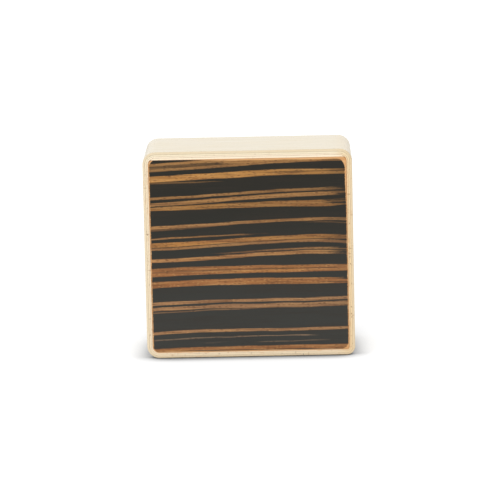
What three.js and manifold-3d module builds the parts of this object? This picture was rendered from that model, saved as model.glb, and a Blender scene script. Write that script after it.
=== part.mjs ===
// A small square hand shaker: three bent plies of pale maple make a ring with rounded corners, a lining strip
// thickens its top wall, a striped veneered panel closes the ring at the front and at the back, and loose steel
// shot lies on the floor inside.
// Millimetres, +Z up, the front panel faces -Y, and the origin is the middle of the base.
import * as THREE from "three";
import { mergeVertices } from "three/addons/utils/BufferGeometryUtils.js";
import Module from "manifold-3d";

// The box
const bodyWidth = 80; // along X, outside
const bodyHeight = 80; // along Z, outside
const bodyDepth = 40; // along Y, over the two rims
const cornerRadius = 4.8; // outside of the bent corners
const tightCornerRadius = 3.2; // outside of the lower right corner, the one that is bent tighter
const rimRound = 0.85; // round-over where the outside meets the rims

// The bent plies, from the outside in
const outerPly = 0.9;
const corePly = 0.65;
const innerPly = 0.55;
const glueLine = 0.05; // between two glued sheets
const sharpestBend = 0.3; // no ply turns a corner on a smaller radius
const seamGap = 0.1; // butt seam where the ends of one ply meet, in the base wall
const seamStagger = 20; // the seams of neighbouring plies lie this far apart
const topStrip = 0.8; // lining strip glued under the top wall, over both panels

// The two panels
const panelRecess = 0.1; // the panel's face below the rim
const faceVeneer = 0.4;
const coreBoard = 2;
const backingVeneer = 0.6;
const panelClearance = 0.05; // glue gap between the panel's edge and the ring
const veneerCorner = 2.4; // corner radius of the face veneer
const tightVeneerCorner = 0.8; // the same in the tight corner
const veneerEase = 0.25; // eased edge of the face veneer

// The loose shot: one grain to a lane, so each can fly to the ceiling past its neighbours
const shotDiameter = 4;
const shotColumns = 10; // lanes along X
const shotRows = 4; // lanes along Y
const shotFloorGap = 0.1;
const laneClearance = 0.5; // least gap from a grain to the side of its lane
const scatterX = 0.618034; // steps of the even scatter that places the grains in their lanes
const scatterY = 0.754878;

// Facets
const cornerSegments = 8; // an arc of a quarter turn gets twice as many
const roundSegments = 4; // across the round-over of the rims
const shotMeridians = 12;
const shotParallels = 8;

// Sizes that follow
const wall = outerPly + glueLine + corePly + glueLine + innerPly;
const lining = glueLine + topStrip;
const panelThickness = faceVeneer + glueLine + coreBoard + glueLine + backingVeneer;
const chamberWidth = bodyWidth - 2 * wall;
const chamberDepth = bodyDepth - 2 * (panelRecess + panelThickness);
const chamberCorner = bendRadius(wall);

const maple = new THREE.MeshStandardMaterial({ color: 0xecd9b8, roughness: 0.5, metalness: 0 });
const mapleCore = new THREE.MeshStandardMaterial({ color: 0xd9bd90, roughness: 0.7, metalness: 0 });
const stripedEbony = new THREE.MeshStandardMaterial({ color: 0x3a2f28, roughness: 0.4, metalness: 0 });
const poplarCore = new THREE.MeshStandardMaterial({ color: 0xcfb48a, roughness: 0.8, metalness: 0 });
const steelShot = new THREE.MeshStandardMaterial({ color: 0x9a9c9f, roughness: 0.3, metalness: 1 });

const wasm = await Module();
wasm.setup();

// Radius of a bent corner at a depth below the outside of the ring
function bendRadius(inset, outside = cornerRadius) {
  return Math.max(outside - inset, sharpestBend);
}

// Corner radii of the box at that depth, as seen from the front
function bends(inset) {
  const usual = bendRadius(inset);
  return { upper: usual, lowerLeft: usual, lowerRight: bendRadius(inset, tightCornerRadius) };
}

// Corner radii as seen from the back
function swapped({ upper, lowerLeft, lowerRight }) {
  return { upper, lowerLeft: lowerRight, lowerRight: lowerLeft };
}

// Outline of the box at a depth below its outside; the top can lie deeper
function boxOutline(inset, { upper, lowerLeft, lowerRight }, topInset) {
  const right = bodyWidth / 2 - inset;
  const top = bodyHeight / 2 - topInset;
  const bottom = inset - bodyHeight / 2;
  const outline = new THREE.Shape();
  outline.absarc(right - upper, top - upper, upper, 0, Math.PI / 2);
  outline.absarc(upper - right, top - upper, upper, Math.PI / 2, Math.PI);
  outline.absarc(lowerLeft - right, bottom + lowerLeft, lowerLeft, Math.PI, 1.5 * Math.PI);
  outline.absarc(right - lowerRight, bottom + lowerRight, lowerRight, 1.5 * Math.PI, 2 * Math.PI);
  outline.closePath();
  return outline;
}

// An upright slab of that outline from one Y to another; ease rounds both of its edges
function slab(inset, frontY, backY, { ease = 0, corners = bends(inset), topInset = inset } = {}) {
  const geometry = new THREE.ExtrudeGeometry(boxOutline(inset, corners, topInset), {
    depth: backY - frontY - 2 * ease,
    curveSegments: cornerSegments,
    bevelEnabled: ease > 0,
    bevelThickness: ease,
    bevelSize: ease,
    bevelOffset: -ease,
    bevelSegments: roundSegments,
  });
  geometry.rotateX(Math.PI / 2);
  geometry.translate(0, backY - ease, bodyHeight / 2);
  return toSolid(geometry);
}

// Everything above a height, to keep or to cut away
function above(height) {
  const block = new THREE.BoxGeometry(2 * bodyWidth, 2 * bodyDepth, bodyHeight);
  block.translate(0, 0, height + bodyHeight / 2);
  return toSolid(block);
}

// A closed geometry as a solid that can be cut
function toSolid(geometry) {
  geometry.deleteAttribute("normal");
  geometry.deleteAttribute("uv");
  const merged = mergeVertices(geometry);
  const mesh = new wasm.Mesh({
    numProp: 3,
    vertProperties: merged.attributes.position.array,
    triVerts: new Uint32Array(merged.index.array),
  });
  return new wasm.Manifold(mesh);
}

// A cut solid as a geometry again
function toGeometry(solid) {
  const mesh = solid.getMesh();
  const geometry = new THREE.BufferGeometry();
  geometry.setAttribute("position", new THREE.BufferAttribute(mesh.vertProperties, 3));
  geometry.setIndex(new THREE.BufferAttribute(mesh.triVerts, 1));
  geometry.computeVertexNormals();
  return geometry;
}

// Adds one named piece to a group
function addPiece(group, name, geometry, material) {
  const piece = new THREE.Mesh(geometry, material);
  piece.name = name;
  group.add(piece);
  return piece;
}

// One bent ply: a hoop of the given sheet, cut to the rounded box and open at its butt seam
function bentPly(inset, thickness, seamX) {
  const half = bodyDepth / 2;
  const roundedBox = slab(0, -half, half, { ease: rimRound });
  const sheet = slab(inset, -half, half).intersect(roundedBox);
  const hollow = slab(inset + thickness, -bodyDepth, bodyDepth);
  const seam = new THREE.BoxGeometry(seamGap, 2 * bodyDepth, 2 * wall);
  seam.translate(seamX, 0, inset);
  return toGeometry(sheet.subtract(hollow).subtract(toSolid(seam)));
}

// The ring of three plies, and the strip that lines its top wall
function shell() {
  const group = new THREE.Group();
  const sheets = [
    { name: "shell_outer_ply", thickness: outerPly, material: maple },
    { name: "shell_core_ply", thickness: corePly, material: mapleCore },
    { name: "shell_inner_ply", thickness: innerPly, material: maple },
  ];
  let inset = 0;
  sheets.forEach((sheet, order) => {
    const seamX = (1 - order) * seamStagger;
    addPiece(group, sheet.name, bentPly(inset, sheet.thickness, seamX), sheet.material);
    inset += sheet.thickness + glueLine;
  });
  const strip = slab(inset, -bodyDepth / 2, bodyDepth / 2).intersect(above(bodyHeight - wall - lining));
  addPiece(group, "shell_top_strip", toGeometry(strip), maple);
  return group;
}

// One glued panel, made as the front one: an eased face veneer, a core board and a backing veneer. The rear one is
// turned round afterwards, so its corners are those seen from the back.
function panel(side) {
  const group = new THREE.Group();
  const inset = wall + panelClearance;
  const topInset = inset + lining;
  const asSeen = side === "rear" ? swapped : (corners) => corners;
  const corners = asSeen(bends(inset));
  const eased = asSeen({ upper: veneerCorner, lowerLeft: veneerCorner, lowerRight: tightVeneerCorner });
  const faceY = panelRecess - bodyDepth / 2;
  const coreY = faceY + faceVeneer + glueLine;
  const backingY = coreY + coreBoard + glueLine;
  const backY = backingY + backingVeneer;
  const lid = above(bodyHeight - topInset);
  const easedBlock = slab(inset, faceY, backY, { ease: veneerEase, corners: eased, topInset });
  const face = easedBlock.intersect(slab(inset, faceY, faceY + faceVeneer, { corners }));
  addPiece(group, `${side}_face_veneer`, toGeometry(face), stripedEbony);
  const board = slab(inset, coreY, coreY + coreBoard, { corners }).subtract(lid);
  const backing = slab(inset, backingY, backY, { corners }).subtract(lid);
  addPiece(group, `${side}_core_board`, toGeometry(board), poplarCore);
  addPiece(group, `${side}_backing_veneer`, toGeometry(backing), mapleCore);
  return group;
}

// Even scatter from -1 to 1 for the grain of a given number
function scatter(number, step) {
  return 2 * ((number * step) % 1) - 1;
}

// The loose grains, each lying on the flat of the floor somewhere in its own lane
function shot() {
  const group = new THREE.Group();
  const laneX = (chamberWidth - 2 * chamberCorner) / shotColumns;
  const laneY = chamberDepth / shotRows;
  const roomX = (laneX - shotDiameter) / 2 - laneClearance;
  const roomY = (laneY - shotDiameter) / 2 - laneClearance;
  const radius = shotDiameter / 2;
  const ball = new THREE.SphereGeometry(radius, shotMeridians, shotParallels);
  for (let row = 0; row < shotRows; row += 1) {
    for (let column = 0; column < shotColumns; column += 1) {
      const number = row * shotColumns + column + 1;
      const name = `shot_${String(number).padStart(2, "0")}`;
      const grain = addPiece(group, name, ball, steelShot);
      grain.position.set(
        (column + 0.5 - shotColumns / 2) * laneX + roomX * scatter(number, scatterX),
        (row + 0.5 - shotRows / 2) * laneY + roomY * scatter(number, scatterY),
        wall + shotFloorGap + radius,
      );
    }
  }
  return group;
}

const shaker = new THREE.Group();
shaker.add(shell());
shaker.add(panel("front"));
const rearPanel = panel("rear");
rearPanel.rotation.z = Math.PI;
shaker.add(rearPanel);
shaker.add(shot());

export default shaker;
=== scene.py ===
"""Dresses a small square hand shaker: a bent maple ring, two striped panels and loose steel shot.

Metres, +Z up, the front panel faces -Y and the origin is the middle of the base. Grain and stripe sizes are
written in millimetres, because that is the scale at which wood is read.
"""

import logging
import math
from collections.abc import Callable, Iterable, Mapping
from dataclasses import dataclass, field
from enum import Enum

import bmesh
import bpy
from mathutils import Matrix, Vector


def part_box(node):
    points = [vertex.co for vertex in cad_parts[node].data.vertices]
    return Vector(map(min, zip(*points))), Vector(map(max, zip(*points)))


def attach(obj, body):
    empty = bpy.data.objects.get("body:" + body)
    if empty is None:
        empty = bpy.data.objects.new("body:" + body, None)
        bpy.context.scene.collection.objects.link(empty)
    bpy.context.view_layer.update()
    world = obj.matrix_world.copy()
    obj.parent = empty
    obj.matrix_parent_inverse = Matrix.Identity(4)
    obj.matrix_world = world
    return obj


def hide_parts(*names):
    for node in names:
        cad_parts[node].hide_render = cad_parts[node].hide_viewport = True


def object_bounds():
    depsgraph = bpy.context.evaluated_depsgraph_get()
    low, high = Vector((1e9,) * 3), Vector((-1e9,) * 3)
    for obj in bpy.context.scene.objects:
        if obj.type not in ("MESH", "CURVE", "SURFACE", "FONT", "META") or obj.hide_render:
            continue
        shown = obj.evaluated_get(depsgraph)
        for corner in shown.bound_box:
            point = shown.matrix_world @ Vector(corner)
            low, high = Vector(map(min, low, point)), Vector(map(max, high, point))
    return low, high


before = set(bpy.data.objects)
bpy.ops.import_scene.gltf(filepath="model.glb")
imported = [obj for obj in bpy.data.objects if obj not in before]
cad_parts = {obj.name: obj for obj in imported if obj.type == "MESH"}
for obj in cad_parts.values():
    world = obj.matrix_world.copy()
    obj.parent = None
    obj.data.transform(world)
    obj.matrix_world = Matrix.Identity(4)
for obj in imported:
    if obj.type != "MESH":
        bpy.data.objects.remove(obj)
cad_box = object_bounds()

log = logging.getLogger("shaker")

MM = 0.001
PER_METRE = 1000.0
TINY = 1e-7
ORIGIN = (0.0, 0.0, 0.0)
SHEET = "sheet_place"
CORNERS = ("Top Left", "Top Right", "Bottom Left", "Bottom Right")
NOISE_SPAN = (0.3, 0.7)  # Blender's noise seldom leaves it

Colour = tuple[float, float, float]
Place = tuple[float, float, float]
Socket = bpy.types.NodeSocket
Node = bpy.types.Node
Material = bpy.types.Material
Piece = bpy.types.Object
Feed = Socket | float | tuple[float, ...]


def srgb(red: int, green: int, blue: int) -> Colour:
    """Turns a colour as a screen shows it into the linear one that a shader takes.

    Args:
        red: Red from 0 to 255.
        green: Green from 0 to 255.
        blue: Blue from 0 to 255.

    Returns:
        The linear colour, each part from 0 to 1.
    """

    def linear(level: int) -> float:
        """Undoes the screen's curve for one part of the colour."""
        share = level / 255
        return share / 12.92 if share <= 0.04045 else ((share + 0.055) / 1.055) ** 2.4

    return linear(red), linear(green), linear(blue)


class Kind(Enum):
    """The kinds of socket that a node group has."""

    VALUE = "NodeSocketFloat"
    VECTOR = "NodeSocketVector"


class Side(Enum):
    """The two panels of the box."""

    FRONT = "front"
    REAR = "rear"


class Run(Enum):
    """Which way the fibres of a ply run."""

    ALONG = "along the ring"
    ACROSS = "across the ring"


class Graph:
    """Adds nodes to one node tree and links them, so that a finish reads from its first node to its last."""

    def __init__(self, tree: bpy.types.NodeTree) -> None:
        """Empties the tree."""
        self.tree = tree
        tree.nodes.clear()

    def feed(self, socket: Socket, value: Feed) -> None:
        """Links a socket to an output, or sets its own value.

        Args:
            socket: The input socket.
            value: An output socket, a number, a vector or a colour.
        """
        if isinstance(value, Socket):
            self.tree.links.new(value, socket)
        elif socket.type == "RGBA" and isinstance(value, tuple):
            socket.default_value = (*value, 1.0)
        else:
            socket.default_value = value

    def add(self, kind: str, feeds: Mapping[str | int, Feed] | None = None, **settings: object) -> Node:
        """Adds a shader node.

        Args:
            kind: The node's type without its first word, such as TexNoise.
            feeds: What goes into its sockets, by name or number.
            **settings: The node's own options.

        Returns:
            The new node.
        """
        node = self.tree.nodes.new(f"ShaderNode{kind}")
        for option, choice in settings.items():
            setattr(node, option, choice)
        for socket, value in (feeds or {}).items():
            self.feed(node.inputs[socket], value)
        return node

    def math(self, operation: str, *feeds: Feed) -> Socket:
        """Adds a Math node and returns its value."""
        return self.add("Math", dict(enumerate(feeds)), operation=operation).outputs[0]

    def times(self, first: Feed, second: Feed) -> Socket:
        """Multiplies two values."""
        return self.math("MULTIPLY", first, second)

    def rest(self, share: Feed) -> Socket:
        """Takes a share away from 1."""
        return self.math("SUBTRACT", 1.0, share)

    def vector(self, operation: str, *feeds: Feed) -> Socket:
        """Adds a Vector Math node and returns its vector."""
        return self.add("VectorMath", dict(enumerate(feeds)), operation=operation).outputs[0]

    def length(self, vector: Socket) -> Socket:
        """Measures a vector."""
        return self.add("VectorMath", {0: vector}, operation="LENGTH").outputs["Value"]

    def join(self, x: Feed, y: Feed, z: Feed) -> Socket:
        """Makes a vector of three values."""
        return self.add("CombineXYZ", {"X": x, "Y": y, "Z": z}).outputs[0]

    def split(self, vector: Socket) -> tuple[Socket, ...]:
        """Takes a vector apart into its three values."""
        return tuple(self.add("SeparateXYZ", {"Vector": vector}).outputs)

    def blend(self, share: Feed, first: Feed, second: Feed, mode: str = "MIX") -> Socket:
        """Mixes two colours.

        Args:
            share: How much of the second colour there is, from 0 to 1.
            first: The colour underneath.
            second: The colour on top.
            mode: Blender's name for the way of mixing.

        Returns:
            The mixed colour.
        """
        # A Mix node has sockets of the same name for each type: 6, 7 and the output 2 are those for colours.
        return self.add("Mix", {0: share, 6: first, 7: second}, data_type="RGBA", blend_type=mode).outputs[2]

    def ramp(self, value: Feed, low: Feed, high: Feed, start: float = 0.0, end: float = 1.0) -> Socket:
        """Eases a value from one level to another.

        Args:
            value: The value that decides.
            low: Where the easing begins.
            high: Where it ends.
            start: The level up to low.
            end: The level from high on.

        Returns:
            The eased value.
        """
        feeds = {"Value": value, "From Min": low, "From Max": high, "To Min": start, "To Max": end}
        return self.add("MapRange", feeds, interpolation_type="SMOOTHSTEP").outputs[0]

    def between(self, share: Feed, first: Feed, second: Feed) -> Socket:
        """Takes a value from between two others: the first where the share is 0, the second where it is 1."""
        return self.math("MULTIPLY_ADD", self.math("SUBTRACT", second, first), share, first)

    def sway(self, noise: Socket, amount: float, value: Feed) -> Socket:
        """Moves a value by noise, by up to half the amount either way."""
        return self.math("MULTIPLY_ADD", self.math("SUBTRACT", noise, 0.5), amount, value)

    def noise(self, place: Feed, detail: float = 3.0, roughness: float = 0.6) -> Socket:
        """Adds soft noise with features of about one unit, spread evenly from 0 to 1."""
        feeds = {"Vector": place, "Scale": 1.0, "Detail": detail, "Roughness": roughness}
        return self.ramp(self.add("TexNoise", feeds).outputs[0], *NOISE_SPAN)

    def place(self, group: "Group", feeds: Mapping[str, Feed]) -> Node:
        """Places a node group in this tree with its own values."""
        return self.add("Group", feeds, node_tree=group.tree)


class Group(Graph):
    """A node group with named sockets, built once and placed in each finish that uses it."""

    def __init__(self, name: str, inputs: Mapping[str, Kind], outputs: Mapping[str, Kind]) -> None:
        """Makes an empty group.

        Args:
            name: The group's name.
            inputs: The kind of each input socket, by name.
            outputs: The kind of each output socket, by name.
        """
        super().__init__(bpy.data.node_groups.new(name, "ShaderNodeTree"))
        for label, kind in inputs.items():
            self.tree.interface.new_socket(name=label, in_out="INPUT", socket_type=kind.value)
        for label, kind in outputs.items():
            self.tree.interface.new_socket(name=label, in_out="OUTPUT", socket_type=kind.value)
        self.inputs = self.tree.nodes.new("NodeGroupInput").outputs
        self.outputs = self.tree.nodes.new("NodeGroupOutput").inputs

    def scaled(self, scale: Place) -> Socket:
        """Returns the place, scaled along each axis."""
        return self.vector("MULTIPLY", self.inputs["Place"], scale)

    def squeezed(self) -> Socket:
        """Returns the place measured in fibre lengths along the grain and fibre widths across it."""
        size = self.join(self.inputs["Length"], self.inputs["Width"], self.inputs["Width"])
        return self.vector("DIVIDE", self.inputs["Place"], size)


class Effects:
    """The shader node groups that the finishes share. Places are in millimetres, with X along the grain."""

    def __init__(self) -> None:
        """Builds each group once."""
        self.grain = self._grain()
        self.flecks = self._flecks()
        self.streak = self._streak()
        self.lacquer = self._lacquer()
        self.edge_rub = self._edge_rub()
        self.outline = self._outline()

    @staticmethod
    def _grain() -> Group:
        """Builds wood grain: fine fibres, and the broad figure that they drift in."""
        sockets = {"Place": Kind.VECTOR, "Length": Kind.VALUE, "Width": Kind.VALUE}
        group = Group("wood_grain", sockets, {"Fibre": Kind.VALUE, "Figure": Kind.VALUE})
        figure_scale = (0.3, 0.12, 0.12)
        fibres = group.squeezed()
        group.feed(group.outputs["Fibre"], group.noise(fibres, detail=4.0, roughness=0.65))
        broad = group.vector("MULTIPLY", fibres, figure_scale)
        group.feed(group.outputs["Figure"], group.noise(broad, detail=2.0, roughness=0.5))
        return group

    @staticmethod
    def _flecks() -> Group:
        """Builds scattered short marks: pores, rays and end-grain dots."""
        sockets = {"Place": Kind.VECTOR, "Length": Kind.VALUE, "Width": Kind.VALUE, "Share": Kind.VALUE}
        group = Group("wood_flecks", sockets, {"Mask": Kind.VALUE})
        solid_to = 0.2
        gone_from = 0.42
        faintest = 0.45
        cells = group.add("TexVoronoi", {"Vector": group.squeezed(), "Scale": 1.0})
        red, green, _ = group.split(cells.outputs["Color"])
        dots = group.ramp(cells.outputs["Distance"], solid_to, gone_from, 1.0, 0.0)
        picked = group.math("LESS_THAN", red, group.inputs["Share"])
        uneven = group.ramp(green, 0.0, 1.0, faintest, 1.0)
        group.feed(group.outputs["Mask"], group.times(group.times(dots, picked), uneven))
        return group

    @staticmethod
    def _streak() -> Group:
        """Builds one stripe of the veneer's figure, which follows a curve and frays out at its ends."""
        names = ["Along", "Across", "Reach", "Height", "Slope", "Bow", "Twist"]
        names += ["Half Width", "Flare", "Start", "Stop", "Strength", "Swell"]
        group = Group("veneer_streak", {name: Kind.VALUE for name in names}, {"Mask": Kind.VALUE})
        soft = 0.17
        fade = 0.1
        along = group.inputs["Along"]
        curve = group.inputs["Twist"]
        for term in ("Bow", "Slope", "Height"):
            curve = group.math("MULTIPLY_ADD", curve, along, group.inputs[term])
        off = group.math("ABSOLUTE", group.math("SUBTRACT", group.inputs["Across"], curve))
        half = group.math("MULTIPLY_ADD", group.inputs["Flare"], along, group.inputs["Half Width"])
        mask = group.ramp(off, group.math("SUBTRACT", half, soft), group.math("ADD", half, soft), 1.0, 0.0)
        for end, before, after in (("Start", 0.0, 1.0), ("Stop", 1.0, 0.0)):
            low = group.math("SUBTRACT", group.inputs[end], fade)
            high = group.math("ADD", group.inputs[end], fade)
            mask = group.times(mask, group.ramp(group.inputs["Reach"], low, high, before, after))
        strength = group.math("MULTIPLY_ADD", group.inputs["Swell"], along, group.inputs["Strength"])
        group.feed(group.outputs["Mask"], group.times(mask, strength))
        return group

    @staticmethod
    def _lacquer() -> Group:
        """Builds a thin hand-rubbed lacquer: its gloss drifts from satin to dull, and it ripples a little."""
        sockets = {"Place": Kind.VECTOR, "Satin": Kind.VALUE, "Dull": Kind.VALUE}
        group = Group("rubbed_lacquer", sockets, {"Roughness": Kind.VALUE, "Ripple": Kind.VALUE})
        cloud_scale = (0.06, 0.06, 0.06)
        speck_scale = (1.4, 1.4, 1.4)
        speck_share = 0.3
        clouds = group.noise(group.scaled(cloud_scale), detail=3.0)
        specks = group.noise(group.scaled(speck_scale), detail=2.0)
        drift = group.math("MULTIPLY_ADD", specks, speck_share, group.times(clouds, 1.0 - speck_share))
        roughness = group.between(drift, group.inputs["Satin"], group.inputs["Dull"])
        group.feed(group.outputs["Roughness"], roughness)
        group.feed(group.outputs["Ripple"], drift)
        return group

    @staticmethod
    def _edge_rub() -> Group:
        """Builds the patchy polish that hands leave along an edge."""
        sockets = {"Place": Kind.VECTOR, "Distance": Kind.VALUE, "Reach": Kind.VALUE}
        group = Group("edge_rub", sockets, {"Mask": Kind.VALUE})
        patch_scale = (0.12, 0.5, 0.5)
        bare_to = 0.2
        full_from = 0.8
        least = 0.35
        near = group.ramp(group.inputs["Distance"], 0.0, group.inputs["Reach"], 1.0, 0.0)
        patchy = group.noise(group.scaled(patch_scale), detail=3.0)
        patchy = group.ramp(patchy, bare_to, full_from, least, 1.0)
        group.feed(group.outputs["Mask"], group.times(near, patchy))
        return group

    @staticmethod
    def _outline() -> Group:
        """Builds how far a place lies inside an upright oblong whose four corners have their own radii."""
        names = ["X", "Z", "Half Width", "Half Height", *CORNERS]
        group = Group("rounded_outline", {name: Kind.VALUE for name in names}, {"Inside": Kind.VALUE})
        right = group.math("GREATER_THAN", group.inputs["X"], 0.0)
        upper = group.math("GREATER_THAN", group.inputs["Z"], 0.0)
        top = group.between(right, group.inputs["Top Left"], group.inputs["Top Right"])
        bottom = group.between(right, group.inputs["Bottom Left"], group.inputs["Bottom Right"])
        radius = group.between(upper, bottom, top)
        past = []
        for axis, half in (("X", "Half Width"), ("Z", "Half Height")):
            off = group.math("SUBTRACT", group.math("ABSOLUTE", group.inputs[axis]), group.inputs[half])
            past.append(group.math("ADD", off, radius))
        outward = group.join(group.math("MAXIMUM", past[0], 0.0), 0.0, group.math("MAXIMUM", past[1], 0.0))
        within = group.math("MINIMUM", group.math("MAXIMUM", past[0], past[1]), 0.0)
        away = group.math("ADD", group.length(outward), within)
        group.feed(group.outputs["Inside"], group.math("SUBTRACT", radius, away))
        return group


class Surface(Graph):
    """The graph of one material that ends in a Principled BSDF, with the shared effects at hand."""

    def __init__(self, name: str, effects: Effects) -> None:
        """Makes the material.

        Args:
            name: The material's name.
            effects: The shared node groups.
        """
        self.material = bpy.data.materials.new(name)
        self.material.use_nodes = True
        super().__init__(self.material.node_tree)
        self.effects = effects
        self.shader = self.add("BsdfPrincipled")
        self.add("OutputMaterial", {"Surface": self.shader.outputs[0]})

    def paint(self, socket: str, value: Feed) -> None:
        """Feeds one of the shader's sockets."""
        self.feed(self.shader.inputs[socket], value)

    def object_place(self) -> Socket:
        """Returns the Object coordinates in millimetres."""
        return self.vector("MULTIPLY", self.add("TexCoord").outputs["Object"], (PER_METRE,) * 3)

    def emboss(self, relief: Socket, strength: float, depth: float, invert: bool = False) -> None:
        """Raises or dents the surface by a relief: how much of it is seen, and how deep it is in metres."""
        bump = self.add("Bump", {"Strength": strength, "Distance": depth, "Height": relief}, invert=invert)
        self.paint("Normal", bump.outputs[0])


@dataclass(frozen=True)
class Ease:
    """A smooth change: where it begins and ends, and the level before it and after it."""

    low: float
    high: float
    start: float = 0.0
    end: float = 1.0

    def by(self, graph: Graph, value: Feed) -> Socket:
        """Returns the level that a value gives."""
        return graph.ramp(value, self.low, self.high, self.start, self.end)


@dataclass(frozen=True)
class Grain:
    """The fibres of one wood: their size in millimetres, and how far they and their figure darken it."""

    length: float
    width: float
    fibre_tone: float = 0.35
    figure_tone: float = 0.5

    def lay(self, surface: Surface, place: Socket) -> tuple[Socket, Socket]:
        """Returns the fibres and their broad figure at a place that has X along the grain."""
        feeds = {"Place": place, "Length": self.length, "Width": self.width}
        return tuple(surface.place(surface.effects.grain, feeds).outputs)

    def tone(self, graph: Graph, fibre: Socket, figure: Socket) -> Socket:
        """Returns how dark fibres and figure make the wood."""
        return graph.math("MULTIPLY_ADD", fibre, self.fibre_tone, graph.times(figure, self.figure_tone))


@dataclass(frozen=True)
class Marks:
    """Scattered marks: their size in millimetres, how many of the places have one, and their strength."""

    length: float
    width: float
    share: float
    strength: float = 1.0

    def mask(self, surface: Surface, place: Socket) -> Socket:
        """Returns where the marks are, at a place that has X along the grain."""
        feeds = {"Place": place, "Length": self.length, "Width": self.width, "Share": self.share}
        return surface.place(surface.effects.flecks, feeds).outputs["Mask"]


@dataclass(frozen=True)
class Sheen:
    """The roughness of a surface where it is rubbed satin and where it is dull."""

    satin: float
    dull: float

    def lay(self, surface: Surface, place: Socket) -> tuple[Socket, Socket]:
        """Returns the roughness and the ripple at a place."""
        feeds = {"Place": place, "Satin": self.satin, "Dull": self.dull}
        return tuple(surface.place(surface.effects.lacquer, feeds).outputs)


@dataclass(frozen=True)
class Lip:
    """The amber edge of a sheet beside the panel, partly the amber of glue and lacquer and partly painted
    shade and bounced light of the groove: its depth below the outside, and how high it goes.
    """

    depth: float
    ceiling: float
    before: float = 0.3
    past: float = 0.1
    fade: float = 0.5

    def mask(self, graph: Graph, below: Socket, height: Socket) -> Socket:
        """Returns where the edge is amber, by the depth below the outside and the height above the base."""
        deep = graph.ramp(below, self.depth - self.before, self.depth + self.past)
        return graph.times(deep, graph.ramp(height, self.ceiling - self.fade, self.ceiling, 1.0, 0.0))


@dataclass(frozen=True)
class Finish:
    """What a surface is made of, as a material with its own name."""

    name: str

    def material(self, effects: Effects) -> Material:
        """Makes the material.

        Args:
            effects: The shared node groups.

        Returns:
            The new material.
        """
        surface = Surface(self.name, effects)
        self.lay(surface)
        return surface.material

    def lay(self, surface: Surface) -> None:
        """Lays the finish on a new surface."""
        raise NotImplementedError


@dataclass(frozen=True)
class PlyFinish(Finish):
    """Lacquered maple ply, whose grain follows the bent sheet. Lengths are in millimetres."""

    half_depth: float
    pale: Colour
    deep: Colour
    rim: Colour
    # Rim colour along the top, with painted light: painted shade on the outer ply's round-over, a painted
    # highlight on the sheets inside it.
    top_rim_painted_light: Colour
    warm: Colour
    right_tint: Colour
    fleck: Colour = srgb(186, 140, 92)
    run: Run = Run.ALONG
    grain: Grain = Grain(8.0, 0.2)
    flecks: Marks = Marks(1.4, 0.2, 0.12, 0.8)
    smudges: Marks = Marks(1.0, 2.4, 0.14, 0.45)
    patches: Marks = Marks(3.6, 1.1, 0.4, 0.45)
    lip: Lip | None = None
    lip_cover: float = 0.9
    rim_band: Ease = Ease(0.4, 1.1, 1.0, 0.0)
    rim_cover: float = 0.75
    top_band: Ease = Ease(74.0, 77.5)
    top_marks: float = 0.25
    right_band: Ease = Ease(32.0, 39.0)
    rub_reach: float = 2.5
    rub_polish: float = 0.06
    fibre_relief: float = 0.5
    sheen: Sheen = Sheen(0.14, 0.24)

    def lay(self, surface: Surface) -> None:
        """Lays the wood along the sheet, with its paler rim, the painted light along the rim's top, its marks
        and its lacquer.

        Args:
            surface: The new surface.
        """
        sheet = surface.add("Attribute", attribute_name=SHEET).outputs["Vector"]
        along, across, below = surface.split(sheet)
        x, _, height = surface.split(surface.object_place())
        grown = sheet if self.run is Run.ALONG else surface.join(across, along, below)
        fibre, figure = self.grain.lay(surface, grown)
        edge = surface.math("SUBTRACT", self.half_depth, surface.math("ABSOLUTE", across))
        on_rim = self.rim_band.by(surface, edge)
        on_top = self.top_band.by(surface, height)
        kept = surface.between(on_top, 1.0, self.top_marks)
        flecks = surface.times(self.flecks.mask(surface, sheet), kept)

        wood = surface.blend(self.grain.tone(surface, fibre, figure), self.pale, self.deep)
        # Along the top the rim takes a colour with painted light: darker on the outer ply as painted shade,
        # lighter on the inner sheets as a painted highlight.
        rim = surface.blend(on_top, self.rim, self.top_rim_painted_light)
        wood = surface.blend(surface.times(on_rim, self.rim_cover), wood, rim)
        for marks, colour in ((self.patches, self.warm), (self.smudges, self.fleck)):
            mask = surface.times(marks.mask(surface, sheet), surface.times(on_rim, kept))
            wood = surface.blend(surface.times(mask, marks.strength), wood, colour)
        wood = surface.blend(surface.times(flecks, self.flecks.strength), wood, self.fleck)
        wood = surface.blend(self.right_band.by(surface, x), wood, self.right_tint, "MULTIPLY")
        # The amber lip is partly glue and lacquer and partly painted shade and bounced light of the groove
        # beside the panel.
        if self.lip:
            amber = surface.times(self.lip.mask(surface, below, height), self.lip_cover)
            wood = surface.blend(amber, wood, self.warm)
        surface.paint("Base Color", wood)

        rub = {"Place": sheet, "Distance": edge, "Reach": self.rub_reach}
        rubbed = surface.place(surface.effects.edge_rub, rub).outputs["Mask"]
        roughness, ripple = self.sheen.lay(surface, sheet)
        surface.paint("Roughness", surface.math("MULTIPLY_ADD", rubbed, -self.rub_polish, roughness))
        relief = surface.math("SUBTRACT", surface.times(fibre, self.fibre_relief), flecks)
        surface.emboss(surface.math("ADD", relief, ripple), strength=0.25, depth=0.01 * MM)


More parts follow.
